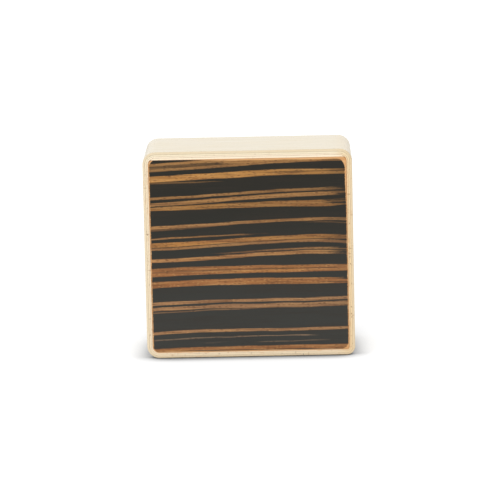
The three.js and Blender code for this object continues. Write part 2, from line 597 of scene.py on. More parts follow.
@dataclass(frozen=True)
class BoardFinish(Finish):
    """Bare wood of a flat layer that lies upright in the box, with its grain along X or along Z."""

    pale: Colour
    deep: Colour
    grain_turn: float
    grain: Grain = Grain(14.0, 0.4, fibre_tone=0.45)
    pores: Marks = Marks(2.4, 0.22, 0.35, 0.5)
    sheen: Sheen = Sheen(0.5, 0.68)

    def lay(self, surface: Surface) -> None:
        """Lays the wood with its pores.

        Args:
            surface: The new surface.
        """
        turned = {"Vector": surface.object_place(), "Rotation": (0.0, self.grain_turn, 0.0)}
        place = surface.add("Mapping", turned).outputs[0]
        fibre, figure = self.grain.lay(surface, place)
        pores = self.pores.mask(surface, place)
        wood = surface.blend(self.grain.tone(surface, fibre, figure), self.pale, self.deep)
        wood = surface.blend(surface.times(pores, self.pores.strength), wood, self.deep, "MULTIPLY")
        surface.paint("Base Color", wood)
        surface.paint("Roughness", self.sheen.lay(surface, place)[0])
        surface.emboss(surface.math("SUBTRACT", fibre, pores), strength=0.35, depth=0.02 * MM)


@dataclass(frozen=True)
class Streak:
    """One stripe of the veneer, in millimetres.

    Its heights above the base are given at four places across the panel: 36 mm left of the middle, 12 mm
    left, 12 mm right and 36 mm right. Its width and its strength are given at the left and at the right.
    """

    heights: tuple[float, float, float, float]
    widths: tuple[float, float]
    strengths: tuple[float, float] = (1.0, 1.0)
    start: float = -60.0
    stop: float = 60.0
    thin_below: float = 1.6

    @property
    def thin(self) -> bool:
        """Says whether this is one of the narrow stripes, which are duller than the broad ones."""
        return sum(self.widths) / 2 < self.thin_below

    def feeds(self, half_span: float) -> dict[str, float]:
        """Works out the values of the streak's node group.

        Args:
            half_span: Half the width between the outer two heights.

        Returns:
            The value of each of the group's own sockets.
        """
        left, inner_left, inner_right, right = self.heights
        # The cubic through four heights, at -1, -1/3, 1/3 and 1 of the half span.
        bow = 9 / 16 * (left + right - inner_left - inner_right)
        slope = (27 * (inner_right - inner_left) - (right - left)) / 16
        return {
            "Height": (left + right) / 2 - bow,
            "Slope": slope,
            "Bow": bow,
            "Twist": (right - left) / 2 - slope,
            "Half Width": sum(self.widths) / 4,
            "Flare": (self.widths[1] - self.widths[0]) / 4,
            "Start": self.start / half_span,
            "Stop": self.stop / half_span,
            "Strength": sum(self.strengths) / 2,
            "Swell": (self.strengths[1] - self.strengths[0]) / 2,
        }


STRIPES = (
    Streak((75.05, 76.25, 77.1, 77.8), (0.95, 1.2), (0.66, 0.75)),
    Streak((74.1, 75.25, 76.0, 76.5), (1.3, 0.8), (0.24, 0.2), stop=-13),
    Streak((75.0, 75.6, 76.2, 76.5), (1.1, 1.0), (0.75, 0.75), start=-9),
    Streak((73.1, 74.25, 75.6, 76.2), (1.0, 1.3), (0.54, 0.82)),
    Streak((69.55, 70.6, 71.4, 71.5), (2.4, 2.0), (1.0, 0.68)),
    Streak((68.05, 68.4, 69.0, 69.0), (0.6, 0.2), (0.27, 0.25), stop=-14),
    Streak((62.05, 63.15, 64.35, 64.95), (0.95, 1.0), (0.7, 0.48), stop=34),
    Streak((59.8, 61.1, 62.5, 63.1), (1.3, 1.6), (0.71, 0.7), stop=35),
    Streak((58.1, 58.8, 59.25, 59.4), (1.3, 2.7), (0.68, 0.6), stop=33),
    Streak((50.8, 51.8, 52.9, 53.0), (1.2, 1.1), (0.82, 0.62)),
    Streak((49.9, 50.8, 51.7, 52.2), (0.6, 0.3), (0.32, 0.3), stop=-22),
    Streak((49.6, 50.6, 51.9, 51.6), (0.3, 0.4), (0.3, 0.3), start=26),
    Streak((46.5, 47.35, 47.8, 48.0), (0.6, 0.3), (0.74, 0.3), stop=1),
    Streak((42.5, 43.5, 44.75, 44.2), (0.95, 1.1), (0.7, 0.68)),
    Streak((44.0, 44.95, 46.1, 46.05), (1.75, 1.6), (0.93, 0.68)),
    Streak((37.85, 39.0, 40.2, 40.2), (1.25, 1.5), (1.0, 0.76), stop=36),
    Streak((39.6, 40.4, 41.6, 41.7), (0.3, 0.75), (0.1, 0.8), start=-12, stop=36),
    Streak((33.4, 34.05, 34.1, 34.25), (3.2, 2.5), (1.0, 0.92)),
    Streak((28.6, 29.35, 29.4, 29.25), (2.45, 2.3), (1.0, 0.92), stop=37),
    Streak((21.2, 22.0, 22.0, 22.35), (1.2, 1.1), (0.95, 0.86)),
    Streak((19.05, 19.85, 19.9, 20.3), (1.25, 1.9), (0.9, 0.74)),
    Streak((17.7, 18.6, 19.0, 19.1), (0.4, 0.3), (0.5, 0.45), stop=0),
    Streak((9.65, 10.5, 10.45, 10.75), (1.1, 1.15), (0.98, 0.86)),
    Streak((6.9, 7.9, 8.1, 8.0), (0.4, 0.4), (0.42, 0.42), stop=-14),
    Streak((6.9, 7.85, 8.05, 7.9), (0.4, 0.4), (0.66, 0.5), start=-9, stop=25),
    Streak((5.3, 5.8, 5.9, 6.1), (0.3, 0.35), (0.25, 0.32), start=8, stop=27),
    Streak((5.4, 5.8, 6.0, 6.0), (0.3, 0.3), (0.3, 0.2), start=-20, stop=-15),
    Streak((3.0, 3.5, 3.55, 3.65), (1.2, 1.55), (0.96, 0.98)),
)

DARK_LINES = (
    Streak((69.4, 70.5, 71.5, 71.8), (0.3, 0.4), (0.5, 0.5), start=6),
    Streak((33.5, 34.0, 34.15, 34.25), (0.4, 0.45), (0.4, 0.6), stop=30),
    Streak((43.05, 44.05, 45.25, 45.1), (0.3, 0.35), (0.4, 0.5)),
)


@dataclass(frozen=True)
class VeneerSpot:
    """What the veneer's colours depend on: the place on its face, and the wood there."""

    place: Socket
    x: Socket
    height: Socket
    fibre: Socket
    figure: Socket
    strands: Socket


@dataclass(frozen=True)
class StripedVeneerFinish(Finish):
    """Black and brown striped veneer under satin lacquer, with the stripes across the panel.

    Lengths are in millimetres. The corner radii are those of the line to which the edge is rubbed through.
    """

    turned: bool
    half_width: float
    half_height: float
    centre_height: float
    corner_radii: tuple[float, float, float, float]
    black: Colour = srgb(25, 23, 14)
    # The black lightens towards the bottom as a painted reflection of the floor in the lacquer.
    black_low_painted_sheen: Colour = srgb(52, 52, 48)
    black_warm: Colour = srgb(46, 36, 27)
    golden: Colour = srgb(191, 135, 68)
    russet: Colour = srgb(156, 102, 58)
    dusty: Colour = srgb(166, 128, 92)
    hairline: Colour = srgb(160, 136, 114)
    straw: Colour = srgb(202, 154, 96)
    umber: Colour = srgb(100, 64, 36)
    rubbed: Colour = srgb(230, 184, 132)
    rubbed_deep: Colour = srgb(204, 146, 90)

    half_span: float = 36.0
    grain: Grain = Grain(11.0, 0.3)
    pores: Marks = Marks(2.0, 0.36, 0.5, 0.85)
    dashes: Marks = Marks(1.5, 0.42, 0.4, 0.5)
    dash_shift: Place = (0.7, 0.0, 0.3)
    strand_scale: Place = (0.045, 0.0, 1.5)
    drift_scale: Place = (0.06, 0.0, 0.2)
    wander: float = 0.2
    ragged: float = 0.2
    fray: float = 0.5
    end_fray: float = 14.0
    end_band: Ease = Ease(26.0, 38.0)
    end_left: Ease = Ease(34.0, 44.0, 0.85, 0.6)

    narrow: Ease = Ease(0.0, 0.3)
    narrow_dull: Ease = Ease(22.0, 36.0, 0.65, 0.3)
    foot_dull: Ease = Ease(4.6, 5.4, 0.2, 1.0)
    faint: Ease = Ease(0.4, 0.72, 0.75, 0.0)
    faint_from: Ease = Ease(4.6, 5.4)
    faint_to: Ease = Ease(8.4, 9.2, 1.0, 0.0)
    golden_band: Ease = Ease(40.0, 84.0)
    golden_drift: float = 24.0
    straw_strands: Ease = Ease(0.5, 1.0, 0.0, 0.4)
    umber_strands: Ease = Ease(0.0, 0.45, 0.45, 0.0)
    umber_fibres: Ease = Ease(0.5, 1.0, 0.0, 0.6)
    painted_sheen_fall: Ease = Ease(2.0, 70.0, 1.0, 0.0)
    black_veins: float = 0.5

    top_wear: Ease = Ease(-30.0, -4.0, -0.3, 0.28)
    top_band: Ease = Ease(1.0, 4.0, 1.0, 0.0)
    left_band: Ease = Ease(0.0, 2.0)
    right_wear: Ease = Ease(56.0, 70.0, 0.0, 0.32)
    right_band: Ease = Ease(0.4, 1.6, 1.0, 0.0)
    worn_line: Ease = Ease(-0.12, 0.12, 1.0, 0.0)
    fibre_relief: float = 0.5
    sheen: Sheen = Sheen(0.34, 0.42)
    specular: float = 0.28

    def lay(self, surface: Surface) -> None:
        """Lays the stripes on the dark wood, with the rubbed edge and the lacquer.

        Args:
            surface: The new surface.
        """
        place = surface.object_place()
        if self.turned:
            lift = (0.0, 0.0, 2 * self.centre_height)
            place = surface.vector("MULTIPLY_ADD", place, (1.0, 1.0, -1.0), lift)
        x, _, height = surface.split(place)
        fibre, figure = self.grain.lay(surface, place)
        strands = surface.noise(surface.vector("MULTIPLY", place, self.strand_scale), detail=2.0)
        spot = VeneerSpot(place, x, height, fibre, figure, strands)

        stripes, dull = self._stripes(surface, spot)
        pores = self.pores.mask(surface, place)
        brown = self._brown(surface, spot, stripes, dull)
        brown = surface.blend(surface.times(pores, self.pores.strength), brown, self.umber)
        # Painted reflection: the black is lighter towards the bottom, standing in for the floor mirrored in
        # the satin lacquer.
        dark = surface.blend(self.painted_sheen_fall.by(surface, height), self.black, self.black_low_painted_sheen)
        veins = surface.times(surface.times(figure, fibre), self.black_veins)
        dark = surface.blend(veins, dark, self.black_warm)
        veneer = surface.blend(stripes, dark, brown)
        worn = self._worn(surface, spot)
        wood = surface.blend(figure, self.rubbed, self.rubbed_deep)
        surface.paint("Base Color", surface.blend(worn, veneer, wood))

        surface.paint("Roughness", self.sheen.lay(surface, place)[0])
        surface.paint("Specular IOR Level", self.specular)
        relief = surface.math("SUBTRACT", surface.times(fibre, self.fibre_relief), pores)
        surface.emboss(relief, strength=0.2, depth=0.01 * MM)

    def _stripes(self, surface: Surface, spot: VeneerSpot) -> tuple[Socket, Socket]:
        """Lays the stripes, parted by the dark lines and weaker towards their right ends.

        Args:
            surface: The veneer's surface.
            spot: The place on it.

        Returns:
            How strong a stripe is at each place, and how far it is one of the dull ones.
        """
        drift = surface.noise(surface.vector("MULTIPLY", spot.place, self.drift_scale), detail=1.0)
        across = surface.sway(spot.fibre, self.ragged, surface.sway(drift, self.wander, spot.height))
        along = surface.math("DIVIDE", spot.x, self.half_span)
        fray = surface.sway(surface.between(0.5, spot.strands, spot.fibre), self.fray, 0.0)
        shared = {"Along": along, "Across": across, "Reach": surface.math("ADD", along, fray)}
        broad = self._masks(surface, (one for one in STRIPES if not one.thin), shared)
        thin = self._masks(surface, (one for one in STRIPES if one.thin), shared)
        dull = self.narrow.by(surface, surface.math("SUBTRACT", thin, broad))
        for band in (self.narrow_dull, self.foot_dull):
            dull = surface.times(dull, band.by(surface, spot.height))
        lines = self._masks(surface, DARK_LINES, shared)
        stripes = surface.times(surface.math("MAXIMUM", broad, thin), surface.rest(lines))
        at_end = self.end_band.by(surface, surface.math("MULTIPLY_ADD", fray, self.end_fray, spot.x))
        kept = surface.between(at_end, 1.0, self.end_left.by(surface, spot.height))
        return surface.times(stripes, kept), dull

    def _masks(self, surface: Surface, streaks: Iterable[Streak], shared: Mapping[str, Feed]) -> Socket:
        """Lays streaks over each other.

        Args:
            surface: The veneer's surface.
            streaks: The streaks to lay.
            shared: The sockets that all of them share.

        Returns:
            The strongest streak at each place.
        """
        total: Feed = 0.0
        for streak in streaks:
            node = surface.place(surface.effects.streak, {**shared, **streak.feeds(self.half_span)})
            total = surface.math("MAXIMUM", total, node.outputs["Mask"])
        return total

    def _brown(self, surface: Surface, spot: VeneerSpot, stripes: Socket, dull: Socket) -> Socket:
        """Mixes the brown of the stripes: golden at the top, russet below, dusty where a stripe is dull.

        Args:
            surface: The veneer's surface.
            spot: The place on it.
            stripes: How strong a stripe is.
            dull: How far it is one of the dull ones.

        Returns:
            The brown, without its pores.
        """
        dashes = self.dashes.mask(surface, surface.vector("ADD", spot.place, self.dash_shift))
        raised = surface.math("MULTIPLY_ADD", spot.figure, self.golden_drift, spot.height)
        brown = surface.blend(self.golden_band.by(surface, raised), self.russet, self.golden)
        brown = surface.blend(dull, brown, self.dusty)
        brown = surface.blend(self.straw_strands.by(surface, spot.strands), brown, self.straw)
        brown = surface.blend(self.umber_strands.by(surface, spot.strands), brown, self.umber)
        brown = surface.blend(self.umber_fibres.by(surface, spot.fibre), brown, self.umber)
        brown = surface.blend(surface.times(dashes, self.dashes.strength), brown, self.straw)
        faint = self.faint.by(surface, stripes)
        for band in (self.faint_from, self.faint_to):
            faint = surface.times(faint, band.by(surface, spot.height))
        return surface.blend(faint, brown, self.hairline)

    def _worn(self, surface: Surface, spot: VeneerSpot) -> Socket:
        """Finds where the veneer's edge is sanded through to the pale wood under it.

        Args:
            surface: The veneer's surface.
            spot: The place on it.

        Returns:
            1 where the wood underneath shows, 0 on the veneer.
        """
        middle = surface.math("SUBTRACT", spot.height, self.centre_height)
        sizes = {"X": spot.x, "Z": middle, "Half Width": self.half_width, "Half Height": self.half_height}
        radii = dict(zip(CORNERS, self.corner_radii))
        inside = surface.place(surface.effects.outline, {**sizes, **radii}).outputs["Inside"]
        wear = self.top_wear.by(surface, spot.x)
        from_top = surface.math("SUBTRACT", self.half_height, middle)
        from_left = surface.math("ADD", spot.x, self.half_width)
        for band, distance in ((self.top_band, from_top), (self.left_band, from_left)):
            wear = surface.times(wear, band.by(surface, distance))
        from_right = surface.math("SUBTRACT", self.half_width, spot.x)
        beside = self.right_band.by(surface, from_right)
        beside = surface.times(beside, self.right_wear.by(surface, spot.height))
        inside = surface.math("SUBTRACT", inside, surface.math("ADD", wear, beside))
        return self.worn_line.by(surface, surface.sway(spot.fibre, self.ragged, inside))


@dataclass(frozen=True)
class SteelFinish(Finish):
    """Tumbled steel shot, dulled by handling and a little stained."""

    bright: Colour = srgb(196, 198, 200)
    stained: Colour = srgb(140, 134, 126)
    stain_scale: Place = (0.9, 0.9, 0.9)
    dents: Marks = Marks(0.5, 0.5, 0.5)
    sheen: Sheen = Sheen(0.22, 0.5)

    def lay(self, surface: Surface) -> None:
        """Lays the metal with its stains and dents.

        Args:
            surface: The new surface.
        """
        place = surface.object_place()
        stain = surface.noise(surface.vector("MULTIPLY", place, self.stain_scale), detail=3.0)
        surface.paint("Base Color", surface.blend(stain, self.bright, self.stained))
        surface.paint("Metallic", 1.0)
        surface.paint("Roughness", self.sheen.lay(surface, place)[0])
        surface.emboss(self.dents.mask(surface, place), strength=0.3, depth=0.02 * MM, invert=True)


def deselect_all() -> None:
    """Leaves object mode with nothing selected, since an operator acts on all that is selected."""
    if bpy.context.mode != "OBJECT":
        bpy.ops.object.mode_set(mode="OBJECT")
    bpy.ops.object.select_all(action="DESELECT")


def begin_edit(name: str) -> Piece:
    """Names the primitive that was just added and starts to edit its mesh.

    Args:
        name: The piece's name.

    Returns:
        The piece.
    """
    piece = bpy.context.active_object
    piece.name = name
    piece.data.name = name
    bpy.ops.object.mode_set(mode="EDIT")
    return piece


def select_vertices(wanted: Callable[[Vector], bool]) -> None:
    """Selects vertices, and the edges and faces between them, of the mesh that is being edited.

    Args:
        wanted: Says by its place whether a vertex is selected.
    """
    bpy.ops.mesh.select_mode(type="VERT")
    mesh = bpy.context.edit_object.data
    shape = bmesh.from_edit_mesh(mesh)
    for vertex in shape.verts:
        vertex.select_set(wanted(vertex.co))
    shape.select_flush_mode()
    bmesh.update_edit_mesh(mesh)


def select_edges(wanted: Callable[[Vector, Vector], bool]) -> None:
    """Selects edges of the mesh that is being edited.

    Args:
        wanted: Says by its two ends whether an edge is selected.
    """
    bpy.ops.mesh.select_mode(type="EDGE")
    bpy.ops.mesh.select_all(action="DESELECT")
    mesh = bpy.context.edit_object.data
    shape = bmesh.from_edit_mesh(mesh)
    for edge in shape.edges:
        edge.select_set(wanted(edge.verts[0].co, edge.verts[1].co))
    bmesh.update_edit_mesh(mesh)


def bevel(offset: float, steps: int, affect: str = "EDGES") -> None:
    """Rounds the edges or the vertices that are selected."""
    bpy.ops.mesh.bevel(offset=offset, segments=steps, affect=affect, clamp_overlap=False)


def finish_mesh(piece: Piece, sharp_degrees: float = 40.0) -> None:
    """Closes an edited mesh, points its faces outwards and shades it.

    Args:
        piece: The piece, in edit mode.
        sharp_degrees: Edges that turn more than this stay sharp.
    """
    bpy.ops.mesh.select_all(action="SELECT")
    bpy.ops.mesh.remove_doubles(threshold=TINY)
    bpy.ops.mesh.normals_make_consistent(inside=False)
    bpy.ops.object.mode_set(mode="OBJECT")
    bpy.ops.object.shade_smooth_by_angle(angle=math.radians(sharp_degrees))
    bpy.ops.object.modifier_add(type="WEIGHTED_NORMAL")
    piece.modifiers[-1].keep_sharp = True
    bpy.ops.object.modifier_apply(modifier=piece.modifiers[-1].name)


def mark_sheet(piece: Piece, lay_flat: Callable[[Vector], Vector]) -> None:
    """Writes each point's place on the flat sheet, for the grain to follow.

    The place is how far along the sheet it is, how far across the box, and how far below the outside of the
    box, in millimetres.

    Args:
        piece: The piece.
        lay_flat: Turns a point into its place on the sheet, in metres.
    """
    attribute = piece.data.attributes.new(SHEET, "FLOAT_VECTOR", "POINT")
    for vertex, mark in zip(piece.data.vertices, attribute.data):
        mark.vector = lay_flat(vertex.co) * PER_METRE


def take_place(piece: Piece, body: str, node: str) -> None:
    """Puts a piece on a body in place of a CAD node, which it hides.

    Args:
        piece: The piece.
        body: The body that it rides on.
        node: The CAD node that it replaces.
    """
    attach(piece, body)
    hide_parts(node)


def give(piece: Piece, material: Material) -> None:
    """Puts one material on a piece in place of what it has."""
    piece.data.materials.clear()
    piece.data.materials.append(material)


@dataclass(frozen=True)
class Bend:
    """One bent corner of the ring: where it lies on the box, and where it begins on the flat sheet."""

    right: int
    up: int
    radius: float
    centre_x: float
    centre_z: float
    begin: float

    @property
    def end(self) -> float:
        """Where the bend ends on the flat sheet."""
        return self.begin + self.radius * math.pi / 2

    @property
    def level(self) -> bool:
        """Whether the sheet comes to this corner along the floor or the top, and not along a side wall."""
        return self.right != self.up

    def holds(self, x: float, z: float) -> bool:
        """Says whether a point of the ring lies in this corner."""
        return (x - self.centre_x) * self.right > 0 and (z - self.centre_z) * self.up > 0

    def lay_flat(self, x: float, z: float) -> tuple[float, float]:
        """Lays a point of the corner on the flat sheet.

        Args:
            x: The point's X.
            z: The point's Z.

        Returns:
            How far round the ring it is, and how far below the outside.
        """
        across = (x - self.centre_x) * self.right
        above = (z - self.centre_z) * self.up
        turned = math.atan2(across, above) if self.level else math.atan2(above, across)
        return self.begin + self.radius * turned, self.radius - math.hypot(across, above)


@dataclass(frozen=True)
class Route:
    """The way of one sheet round the box, from its seam along the floor to the right and back to the seam."""

    half_width: float
    height: float
    seam_x: float
    bends: tuple[Bend, ...]

    def lay_flat(self, point: Vector) -> Vector:
        """Lays a point of the ring on the flat sheet.

        Args:
            point: The point.

        Returns:
            How far round the ring the point is, how far across the box, and how far below the outside.
        """
        x, y, z = point
        for bend in self.bends:
            if bend.holds(x, z):
                along, below = bend.lay_flat(x, z)
                return Vector((along, y, below))
        first, second, third, last = self.bends
        whole = last.end + self.half_width - last.radius
        walls = [
            (z, x if x > self.seam_x else whole + x),
            (self.half_width - x, first.end + z - first.centre_z),
            (self.height - z, second.end + second.centre_x - x),
            (self.half_width + x, third.end + third.centre_z - z),
        ]
        below, along = min(walls)
        return Vector((along, y, below))


@dataclass
class BentPly:
    """One bent sheet of the ring, swept from one end at its butt seam round to the other."""

    layer: str
    slot: str
    thickness: float
    seam_x: float
    outer_ease: float
    inner_ease: float
    corner_radius: float
    tight_radius: float
    seam_gap: float = 0.1 * MM
    corner_steps: int = 20
    ease_steps: int = 8
    piece: Piece | None = None

    def build(self) -> None:
        """Models the ply and lays it in the place of its CAD node."""
        deselect_all()
        node = f"shell_{self.layer}_ply"
        low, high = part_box(node)
        bpy.ops.mesh.primitive_plane_add(size=1.0)
        self.piece = begin_edit(f"{self.layer}_ply")
        bpy.ops.transform.rotate(value=math.pi / 2, orient_axis="Y", center_override=ORIGIN)
        bpy.ops.transform.resize(value=(1.0, high.y - low.y, self.thickness), center_override=ORIGIN)
        middle = low.z + self.thickness / 2
        bpy.ops.transform.translate(value=(self.seam_x + self.seam_gap / 2, 0.0, middle))
        for ease, outside in ((self.outer_ease, True), (self.inner_ease, False)):
            select_vertices(lambda place: (place.z < middle) == outside)
            bevel(ease, self.ease_steps, "VERTICES")
        route = self._route(low, high)
        self._sweep(route)
        finish_mesh(self.piece)
        mark_sheet(self.piece, route.lay_flat)
        take_place(self.piece, "box", node)
        log.info("%s: %d faces, bent round the box", self.piece.name, len(self.piece.data.polygons))

    def _route(self, low: Vector, high: Vector) -> Route:
        """Works out the sheet's way round the box.

        Args:
            low: Lowest corner of the ply's box.
            high: Highest corner of the ply's box.

        Returns:
            The way, with the corners in the order in which the sheet meets them, from the lower right one on.
        """
        half_width = high.x + low.z
        height = high.z + low.z
        bends: list[Bend] = []
        for right, up in ((1, -1), (1, 1), (-1, 1), (-1, -1)):
            radius = self.corner_radius if bends else self.tight_radius
            begin = half_width - radius
            if bends:
                last = bends[-1]
                wall = height if right == last.right else 2 * half_width
                begin = last.end + wall - last.radius - radius
            centre_z = radius if up < 0 else height - radius
            bends.append(Bend(right, up, radius, right * (half_width - radius), centre_z, begin))
        return Route(half_width, height, self.seam_x, tuple(bends))

    def _sweep(self, route: Route) -> None:
        """Draws the sheet's section along the floor, round the four corners and back to the seam.

        Args:
            route: The sheet's way round the box.
        """
        bpy.ops.mesh.select_all(action="SELECT")
        at_x = self.seam_x + self.seam_gap / 2
        at_z = 0.0
        for bend in route.bends:
            run = (bend.centre_x - at_x, 0.0, 0.0) if bend.level else (0.0, 0.0, bend.centre_z - at_z)
            bpy.ops.mesh.extrude_region_move(TRANSFORM_OT_translate={"value": run})
            about = (bend.centre_x, 0.0, bend.centre_z)
            bpy.ops.mesh.spin(steps=self.corner_steps, angle=math.pi / 2, center=about, axis=(0.0, 1.0, 0.0))
            at_x, at_z = bend.centre_x, bend.centre_z
        run = (self.seam_x - self.seam_gap / 2 - at_x, 0.0, 0.0)
        bpy.ops.mesh.extrude_region_move(TRANSFORM_OT_translate={"value": run})


@dataclass
class LiningStrip:
    """The strip glued under the ring's top wall, with its ends rounded to fit the bent corners."""

    ring_radius: float
    node: str = "shell_top_strip"
    edge_ease: float = 0.12 * MM
    bend_steps: int = 20
    ease_steps: int = 3
    piece: Piece | None = None

    def build(self) -> None:
        """Models the strip and lays it in the place of its CAD node."""
        deselect_all()
        low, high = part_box(self.node)
        ring_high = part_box("shell_outer_ply")[1]
        inset = ring_high.z - high.z
        bend_radius = self.ring_radius - inset
        block = (2 * (ring_high.x - inset), high.y - low.y, 2 * bend_radius)
        bpy.ops.mesh.primitive_cube_add(size=1.0)
        self.piece = begin_edit("top_lining_strip")
        bpy.ops.transform.resize(value=block, center_override=ORIGIN)
        bpy.ops.transform.translate(value=(0.0, 0.0, high.z - bend_radius))

        def upper_end(one: Vector, other: Vector) -> bool:
            """Says whether an edge runs along Y at one end of the block's top."""
            return abs(one.x - other.x) < TINY and min(one.z, other.z) > high.z - TINY

        select_edges(upper_end)
        bevel(bend_radius, self.bend_steps)
        bpy.ops.mesh.select_all(action="SELECT")
        cut = {"plane_co": (0.0, 0.0, low.z), "plane_no": (0.0, 0.0, 1.0), "threshold": TINY}
        bpy.ops.mesh.bisect(**cut, use_fill=True, clear_inner=True)

        def lower_lip(one: Vector, other: Vector) -> bool:
            """Says whether an edge runs along X at the bottom of one rim."""
            return abs(one.y - other.y) < TINY and max(one.z, other.z) < low.z + TINY

        select_edges(lower_lip)
        bevel(self.edge_ease, self.ease_steps)
        finish_mesh(self.piece)
        mark_sheet(self.piece, lambda point: Vector((point.x, point.y, ring_high.z - point.z)))
        take_place(self.piece, "box", self.node)
        log.info("%s: %d faces, under the top wall", self.piece.name, len(self.piece.data.polygons))


@dataclass
class ShellRing:
    """The box's ring of three glued plies, with the strip that lines its top wall."""

    corner_radius: float = 4.8 * MM
    tight_radius: float = 3.2 * MM
    rim_round: float = 0.85 * MM
    glue_ease: float = 0.04 * MM
    lip_ease: float = 0.12 * MM
    outer_ply: float = 0.9 * MM
    core_ply: float = 0.65 * MM
    inner_ply: float = 0.55 * MM
    seam_stagger: float = 20 * MM
    lip_headroom: float = 0.7
    plies: list[BentPly] = field(default_factory=list)
    strip: LiningStrip | None = None

    def build(self) -> None:
        """Models the three plies from the outside in, and the strip under them."""
        rows = [
            ("outer", "maple", self.outer_ply, self.seam_stagger, self.rim_round, self.glue_ease),
            ("core", "maple_core", self.core_ply, 0.0, self.glue_ease, self.glue_ease),
            ("inner", "maple", self.inner_ply, -self.seam_stagger, self.glue_ease, self.lip_ease),
        ]
        for row in rows:
            ply = BentPly(*row, corner_radius=self.corner_radius, tight_radius=self.tight_radius)
            ply.build()
            self.plies.append(ply)
        self.strip = LiningStrip(self.corner_radius)
        self.strip.build()

    def dress(self, effects: Effects) -> None:
        """Gives each ply its maple.

        Args:
            effects: The shared node groups.
        """
        low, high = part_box("shell_outer_ply")
        half_depth = (high.y - low.y) / 2 * PER_METRE
        ring_top = high.z * PER_METRE
        inside = (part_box("shell_inner_ply")[0].z + self.inner_ply) * PER_METRE
        strip_low = ring_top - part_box(self.strip.node)[0].z * PER_METRE
        outer = PlyFinish(
            "maple_outer",
            half_depth,
            pale=srgb(240, 226, 194),
            deep=srgb(231, 213, 175),
            rim=srgb(235, 215, 183),
            top_rim_painted_light=srgb(222, 203, 171),
            warm=srgb(226, 190, 146),
            right_tint=srgb(255, 250, 241),
            fleck=srgb(196, 164, 118),
            grain=Grain(9.0, 0.22),
            flecks=Marks(1.6, 0.16, 0.1, 0.8),
        )
        core = PlyFinish(
            "maple_core_end_grain",
            half_depth,
            pale=srgb(246, 231, 204),
            deep=srgb(232, 210, 174),
            rim=srgb(240, 219, 186),
            top_rim_painted_light=srgb(242, 228, 197),
            warm=srgb(226, 190, 146),
            right_tint=srgb(251, 242, 224),
            fleck=srgb(146, 110, 72),
            run=Run.ACROSS,
            grain=Grain(6.0, 0.3),
            flecks=Marks(1.3, 0.7, 0.16, 0.8),
        )
        inner = PlyFinish(
            "maple_inner",
            half_depth,
            pale=srgb(247, 229, 200),
            deep=srgb(240, 215, 180),
            rim=srgb(243, 222, 191),
            top_rim_painted_light=srgb(248, 232, 205),
            warm=srgb(226, 180, 128),
            right_tint=srgb(247, 234, 210),
            lip=Lip(inside, ceiling=ring_top - inside - self.lip_headroom),
        )
        lining = PlyFinish(
            "maple_lining",
            half_depth,
            pale=srgb(249, 231, 203),
            deep=srgb(243, 219, 186),
            rim=srgb(250, 233, 208),
            top_rim_painted_light=srgb(253, 237, 210),
            warm=srgb(228, 186, 136),
            right_tint=srgb(251, 242, 224),
            lip=Lip(strip_low, ceiling=2 * ring_top),
        )
        sheets = [ply.piece for ply in self.plies] + [self.strip.piece]
        for piece, finish in zip(sheets, (outer, core, inner, lining)):
            give(piece, finish.material(effects))


@dataclass
class VeneeredPanel:
    """One panel of the box: a striped face veneer on a core board, with a backing veneer behind it."""

    side: Side
    worn_radii: tuple[float, float, float, float]
    upper_radius: float = 1.5 * MM
    lower_radius: float = 2.45 * MM
    tight_radius: float = 0.85 * MM
    edge_ease: float = 0.22 * MM
    worn_edge: float = 0.3 * MM
    corner_steps: int = 16
    ease_steps: int = 3
    piece: Piece | None = None

    @property
    def node(self) -> str:
        """The CAD node of the face veneer."""
        return f"{self.side.value}_face_veneer"

    def build(self) -> None:
        """Models the face veneer and keeps the two layers under it."""
        deselect_all()
        low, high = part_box(self.node)
        middle = (low + high) / 2
        bpy.ops.mesh.primitive_cube_add(size=1.0)
        self.piece = begin_edit(f"{self.side.value}_striped_veneer")
        bpy.ops.transform.resize(value=tuple(high - low), center_override=ORIGIN)
        bpy.ops.transform.translate(value=tuple(middle))
        radii = {
            (-1, 1): self.upper_radius,
            (1, 1): self.upper_radius,
            (-1, -1): self.lower_radius,
            (1, -1): self.tight_radius,
        }
        for (right, up), radius in radii.items():
            corner_x = high.x * right
            corner_z = middle.z + up * (high.z - middle.z)

            def at_corner(one: Vector, other: Vector) -> bool:
                """Says whether both ends of an edge lie on this corner."""
                return all(math.hypot(end.x - corner_x, end.z - corner_z) < TINY for end in (one, other))

            select_edges(at_corner)
            bevel(radius, self.corner_steps)
        face_y = low.y if self.side is Side.FRONT else high.y
        select_edges(lambda one, other: all(abs(end.y - face_y) < TINY for end in (one, other)))
        bevel(self.edge_ease, self.ease_steps)
        finish_mesh(self.piece)
        take_place(self.piece, "box", self.node)
        log.info("%s: %d faces, over its core board", self.piece.name, len(self.piece.data.polygons))

    def dress(self, effects: Effects, board: Material, backing: Material) -> None:
        """Gives the veneer its stripes and the layers behind it their wood.

        Args:
            effects: The shared node groups.
            board: The material of the core board.
            backing: The material of the backing veneer.
        """
        low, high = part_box(self.node)
        finish = StripedVeneerFinish(
            name=f"striped_veneer_{self.side.value}",
            turned=self.side is Side.REAR,
            half_width=(high.x - self.worn_edge) * PER_METRE,
            half_height=((high.z - low.z) / 2 - self.worn_edge) * PER_METRE,
            centre_height=(low.z + high.z) / 2 * PER_METRE,
            corner_radii=self.worn_radii,
        )
        give(self.piece, finish.material(effects))
        for layer, material in (("core_board", board), ("backing_veneer", backing)):
            give(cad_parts[f"{self.side.value}_{layer}"], material)
            log.info("%s_%s: kept with its own wood", self.side.value, layer)


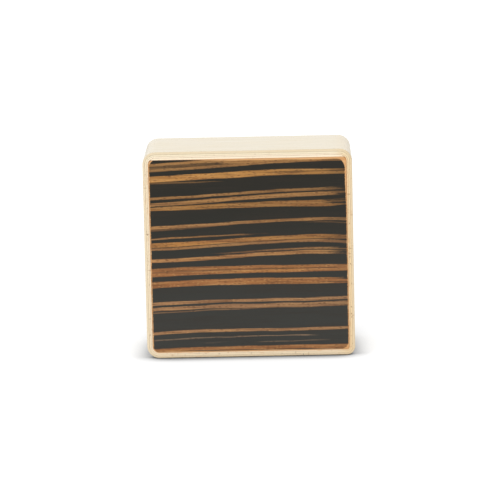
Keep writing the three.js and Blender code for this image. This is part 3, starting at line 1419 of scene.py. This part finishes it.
@dataclass
class ShotFill:
    """The loose steel grains on the floor of the chamber."""

    dent: float = 0.02 * MM
    clearance: float = 0.02 * MM
    subdivisions: int = 4
    seed: int = 7
    smoothings: int = 6
    flattened: Place = (1.0, 0.985, 0.97)
    sharp_degrees: float = 60.0
    turn_step: float = 2.39996
    grains: list[Piece] = field(default_factory=list)

    def build(self) -> None:
        """Models one tumbled grain and lays a turned copy of it in the place of each CAD grain."""
        numbers = sorted(name.removeprefix("shot_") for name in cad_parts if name.startswith("shot_"))
        low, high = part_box(f"shot_{numbers[0]}")
        deselect_all()
        radius = (high.x - low.x) / 2 - self.clearance - self.dent
        bpy.ops.mesh.primitive_ico_sphere_add(subdivisions=self.subdivisions, radius=radius)
        grain = begin_edit("grain_ball")
        bpy.ops.transform.vertex_random(offset=3 * self.dent, uniform=0.0, normal=1.0, seed=self.seed)
        bpy.ops.mesh.vertices_smooth(factor=0.5, repeat=self.smoothings)
        bpy.ops.transform.resize(value=self.flattened, center_override=ORIGIN)
        finish_mesh(grain, self.sharp_degrees)
        for order, number in enumerate(numbers):
            low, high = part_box(f"shot_{number}")
            deselect_all()
            grain.select_set(True)
            bpy.context.view_layer.objects.active = grain
            bpy.ops.object.duplicate(linked=False)
            copy = bpy.context.active_object
            copy.name = f"grain_{number}_ball"
            copy.data.name = copy.name
            turn = order * self.turn_step
            copy.location = (low + high) / 2
            copy.rotation_euler = (turn, turn / 2, 0.0)
            bpy.ops.object.transform_apply(location=True, rotation=True, scale=True)
            take_place(copy, f"grain_{number}", f"shot_{number}")
            self.grains.append(copy)
        bpy.data.objects.remove(grain, do_unlink=True)
        log.info("%d grains of shot, each on its own body", len(self.grains))

    def dress(self, effects: Effects) -> None:
        """Gives every grain the same steel.

        Args:
            effects: The shared node groups.
        """
        steel = SteelFinish("tumbled_steel").material(effects)
        for grain in self.grains:
            give(grain, steel)


@dataclass(frozen=True)
class Softbox:
    """A square soft lamp that faces the object and isn't mirrored in it, as behind a white tent."""

    name: str
    place: Place
    size: float
    power: float

    def hang(self) -> None:
        """Makes the lamp and turns it to the object."""
        data = bpy.data.lights.new(self.name, "AREA")
        data.shape = "SQUARE"
        data.size = self.size
        data.energy = self.power
        lamp = bpy.data.objects.new(self.name, data)
        bpy.context.scene.collection.objects.link(lamp)
        lamp.location = self.place
        lamp.visible_glossy = False
        lamp.rotation_euler = Vector(self.place).to_track_quat("Z", "Y").to_euler()


@dataclass
class Studio:
    """A plain pale floor, a pale world and soft lamps, most of the light from the front."""

    floor_size: float = 12.0
    floor_drop: float = 0.05 * MM
    floor_pale: float = 0.9
    seen_pale: float = 0.25
    seen_glow: Ease = Ease(0.07, 0.5, 0.88, 1.0)
    mirrored_glow: float = 0.2
    bounce_shade: float = 0.25
    openness_samples: int = 16
    foot_reach: float = 14 * MM
    foot_lean: Place = (0.0, 0.75, 0.66)
    foot_core: float = 0.257
    foot_fall: float = -2.6
    foot_depth: float = 0.9
    least_open: float = 0.05
    contact_reach: float = 7.7 * MM
    contact_lean: Place = (-0.06, 0.0, 1.0)
    contact_kept: Ease = Ease(-19 * MM, -10 * MM, 0.97, 0.0)
    side_reach: float = 12.5 * MM
    side_fall: float = 3.0
    side_begun: Ease = Ease(-20 * MM, -10 * MM)
    side_faded: Ease = Ease(-14 * MM, 52 * MM, 0.48, 0.0)
    sky_light: float = 0.55
    softboxes: tuple[Softbox, ...] = (
        Softbox("key_softbox", (-1.1, -1.5, 1.25), size=2.0, power=21.5),
        Softbox("fill_softbox", (1.1, -1.5, 0.9), size=1.8, power=8.6),
        Softbox("top_softbox", (0.0, 0.1, 1.4), size=2.0, power=4.3),
    )

    def build(self) -> None:
        """Lays the floor, lights the world and hangs the lamps."""
        self._floor()
        self._world()
        for softbox in self.softboxes:
            softbox.hang()

    def _floor(self) -> None:
        """Lays the floor, which the camera sees white where no shadow falls, and dark close under the box."""
        deselect_all()
        bpy.ops.mesh.primitive_plane_add(size=self.floor_size, location=(0.0, 0.0, -self.floor_drop))
        floor = bpy.context.active_object
        floor.name = "floor"
        material = bpy.data.materials.new("pale_floor")
        material.use_nodes = True
        graph = Graph(material.node_tree)
        ground = graph.add("TexCoord").outputs["Object"]
        back = graph.split(ground)[1]
        lit: Feed = 1.0
        for shade in (self._foot(graph), self._contact(graph, back), self._beside(graph, ground)):
            lit = graph.times(lit, graph.rest(shade))
        rays = graph.add("LightPath")
        by_camera = rays.outputs["Is Camera Ray"]
        bounced = graph.times(graph.between(lit, 1.0 - self.bounce_shade, 1.0), self.floor_pale)
        pale = graph.between(by_camera, bounced, graph.times(lit, self.seen_pale))
        matt = graph.add("BsdfDiffuse", {"Color": pale})
        mirrored = graph.math("MAXIMUM", rays.outputs["Is Glossy Ray"], rays.outputs["Is Transmission Ray"])
        level = graph.times(by_camera, self.seen_glow.by(graph, graph.length(ground)))
        level = graph.math("MULTIPLY_ADD", mirrored, self.mirrored_glow, level)
        glow = graph.add("Emission", {"Strength": graph.times(level, lit)})
        both = graph.add("AddShader", {0: matt.outputs[0], 1: glow.outputs[0]})
        graph.add("OutputMaterial", {"Surface": both.outputs[0]})
        give(floor, material)

    def _foot(self, graph: Graph) -> Socket:
        """Finds the dark line of painted shadow along the foot of the box.

        Args:
            graph: The floor's graph.

        Returns:
            Almost 0 in the open, most where the box meets the floor.
        """
        open_back = self._openness(graph, self.foot_reach, self.foot_lean)
        nearness = graph.math("DIVIDE", graph.math("MAXIMUM", open_back, self.least_open), self.foot_core)
        gloom = graph.math("POWER", nearness, self.foot_fall)
        return graph.math("MINIMUM", gloom, self.foot_depth)

    def _contact(self, graph: Graph, back: Socket) -> Socket:
        """Finds the softer shade that the floor has in front of the box, by the place along Y."""
        closed = graph.rest(self._openness(graph, self.contact_reach, self.contact_lean))
        return graph.times(closed, self.contact_kept.by(graph, back))

    def _beside(self, graph: Graph, ground: Socket) -> Socket:
        """Finds how much of the light from the front the box keeps off the floor beside it and behind it.

        Args:
            graph: The floor's graph.
            ground: The place on the floor.

        Returns:
            0 in the open, more next to the box.
        """
        x, back, _ = graph.split(ground)
        aside = graph.math("SUBTRACT", graph.math("ABSOLUTE", x), cad_box[1].x)
        aside = graph.math("DIVIDE", graph.math("MAXIMUM", aside, 0.0), self.side_reach)
        near = graph.math("POWER", graph.math("MAXIMUM", graph.rest(aside), 0.0), self.side_fall)
        for band in (self.side_faded, self.side_begun):
            near = graph.times(near, band.by(graph, back))
        return near

    def _openness(self, graph: Graph, reach: float, lean: Place) -> Socket:
        """Finds how open the floor is to the light that comes from one side.

        Args:
            graph: The floor's graph.
            reach: How far away something still takes light.
            lean: Which way the floor looks.

        Returns:
            1 in the open, less next to something.
        """
        feeds = {"Distance": reach, "Normal": graph.join(*Vector(lean).normalized())}
        return graph.add("AmbientOcclusion", feeds, samples=self.openness_samples).outputs["AO"]

    def _world(self) -> None:
        """Makes the world white where it is seen, and a softer light where it isn't."""
        world = bpy.data.worlds.new("pale_studio")
        bpy.context.scene.world = world
        world.use_nodes = True
        graph = Graph(world.node_tree)
        rays = graph.add("LightPath")
        seen = graph.math("MAXIMUM", rays.outputs["Is Camera Ray"], rays.outputs["Is Glossy Ray"])
        seen = graph.math("MAXIMUM", seen, rays.outputs["Is Transmission Ray"])
        level = graph.ramp(seen, 0.0, 1.0, self.sky_light, 1.0)
        sky = graph.add("Background", {"Color": (1.0, 1.0, 1.0), "Strength": level})
        graph.add("OutputWorld", {"Surface": sky.outputs[0]})


@dataclass
class PhotoCamera:
    """The camera: where it stands, seen from the middle of the front rim, and what it looks at.

    The frame is 500 pixels square.
    """

    azimuth: float = 0.7345
    elevation: float = 9.8148
    roll: float = -1.2561
    distance: float = 1.3323
    focal_pixels: float = 3481.0
    frame_pixels: float = 500.0
    sensor: float = 36.0
    middle_right: float = 0.32 * MM
    middle_up: float = 1.6 * MM
    nearest: float = 0.05
    farthest: float = 50.0

    def build(self) -> None:
        """Makes the camera and looks through it."""
        low, high = cad_box
        target = Vector(((low.x + high.x) / 2, low.y, (low.z + high.z) / 2))
        azimuth, elevation, roll = (math.radians(turn) for turn in (self.azimuth, self.elevation, self.roll))
        level = math.cos(elevation)
        back = Vector((math.sin(azimuth) * level, -math.cos(azimuth) * level, math.sin(elevation)))
        stand = target + back * self.distance
        right, up = self._axes(back, roll)
        target = target + right * self.middle_right + up * self.middle_up
        back = (stand - target).normalized()
        right, up = self._axes(back, roll)
        data = bpy.data.cameras.new("camera")
        data.sensor_width = self.sensor
        data.lens = self.focal_pixels * self.sensor / self.frame_pixels
        data.clip_start = self.nearest
        data.clip_end = self.farthest
        camera = bpy.data.objects.new("camera", data)
        bpy.context.scene.collection.objects.link(camera)
        turn = Matrix((right, up, back)).transposed()
        camera.matrix_world = Matrix.Translation(stand) @ turn.to_4x4()
        bpy.context.scene.camera = camera

    @staticmethod
    def _axes(back: Vector, roll: float) -> tuple[Vector, Vector]:
        """Works out the camera's right and up.

        Args:
            back: From what it looks at to the camera.
            roll: Its turn about that line, in radians.

        Returns:
            Its right and its up.
        """
        level = Vector((0.0, 0.0, 1.0)).cross(back).normalized()
        upright = back.cross(level)
        right = level * math.cos(roll) + upright * math.sin(roll)
        return right, back.cross(right)


def main() -> None:
    """Builds the shaker, the studio and the camera in order."""
    logging.basicConfig(level=logging.INFO, format="%(message)s")
    bpy.context.scene.view_settings.view_transform = "Standard"
    PhotoCamera().build()
    Studio().build()
    effects = Effects()
    ring = ShellRing()
    ring.build()
    ring.dress(effects)
    level = BoardFinish("poplar_board", srgb(222, 178, 122), srgb(196, 142, 86), grain_turn=0.0)
    crossed = BoardFinish("backing_wood", srgb(214, 184, 138), srgb(190, 154, 106), grain_turn=math.pi / 2)
    board = level.material(effects)
    backing = crossed.material(effects)
    front_radii = (2.1, 3.6, 1.9, 2.6)
    rear_radii = (2.4, 2.0, 2.3, 2.1)
    for side, radii in ((Side.FRONT, front_radii), (Side.REAR, rear_radii)):
        panel = VeneeredPanel(side, radii)
        panel.build()
        panel.dress(effects, board, backing)
    shot = ShotFill()
    shot.build()
    shot.dress(effects)


if __name__ == "__main__":
    main()
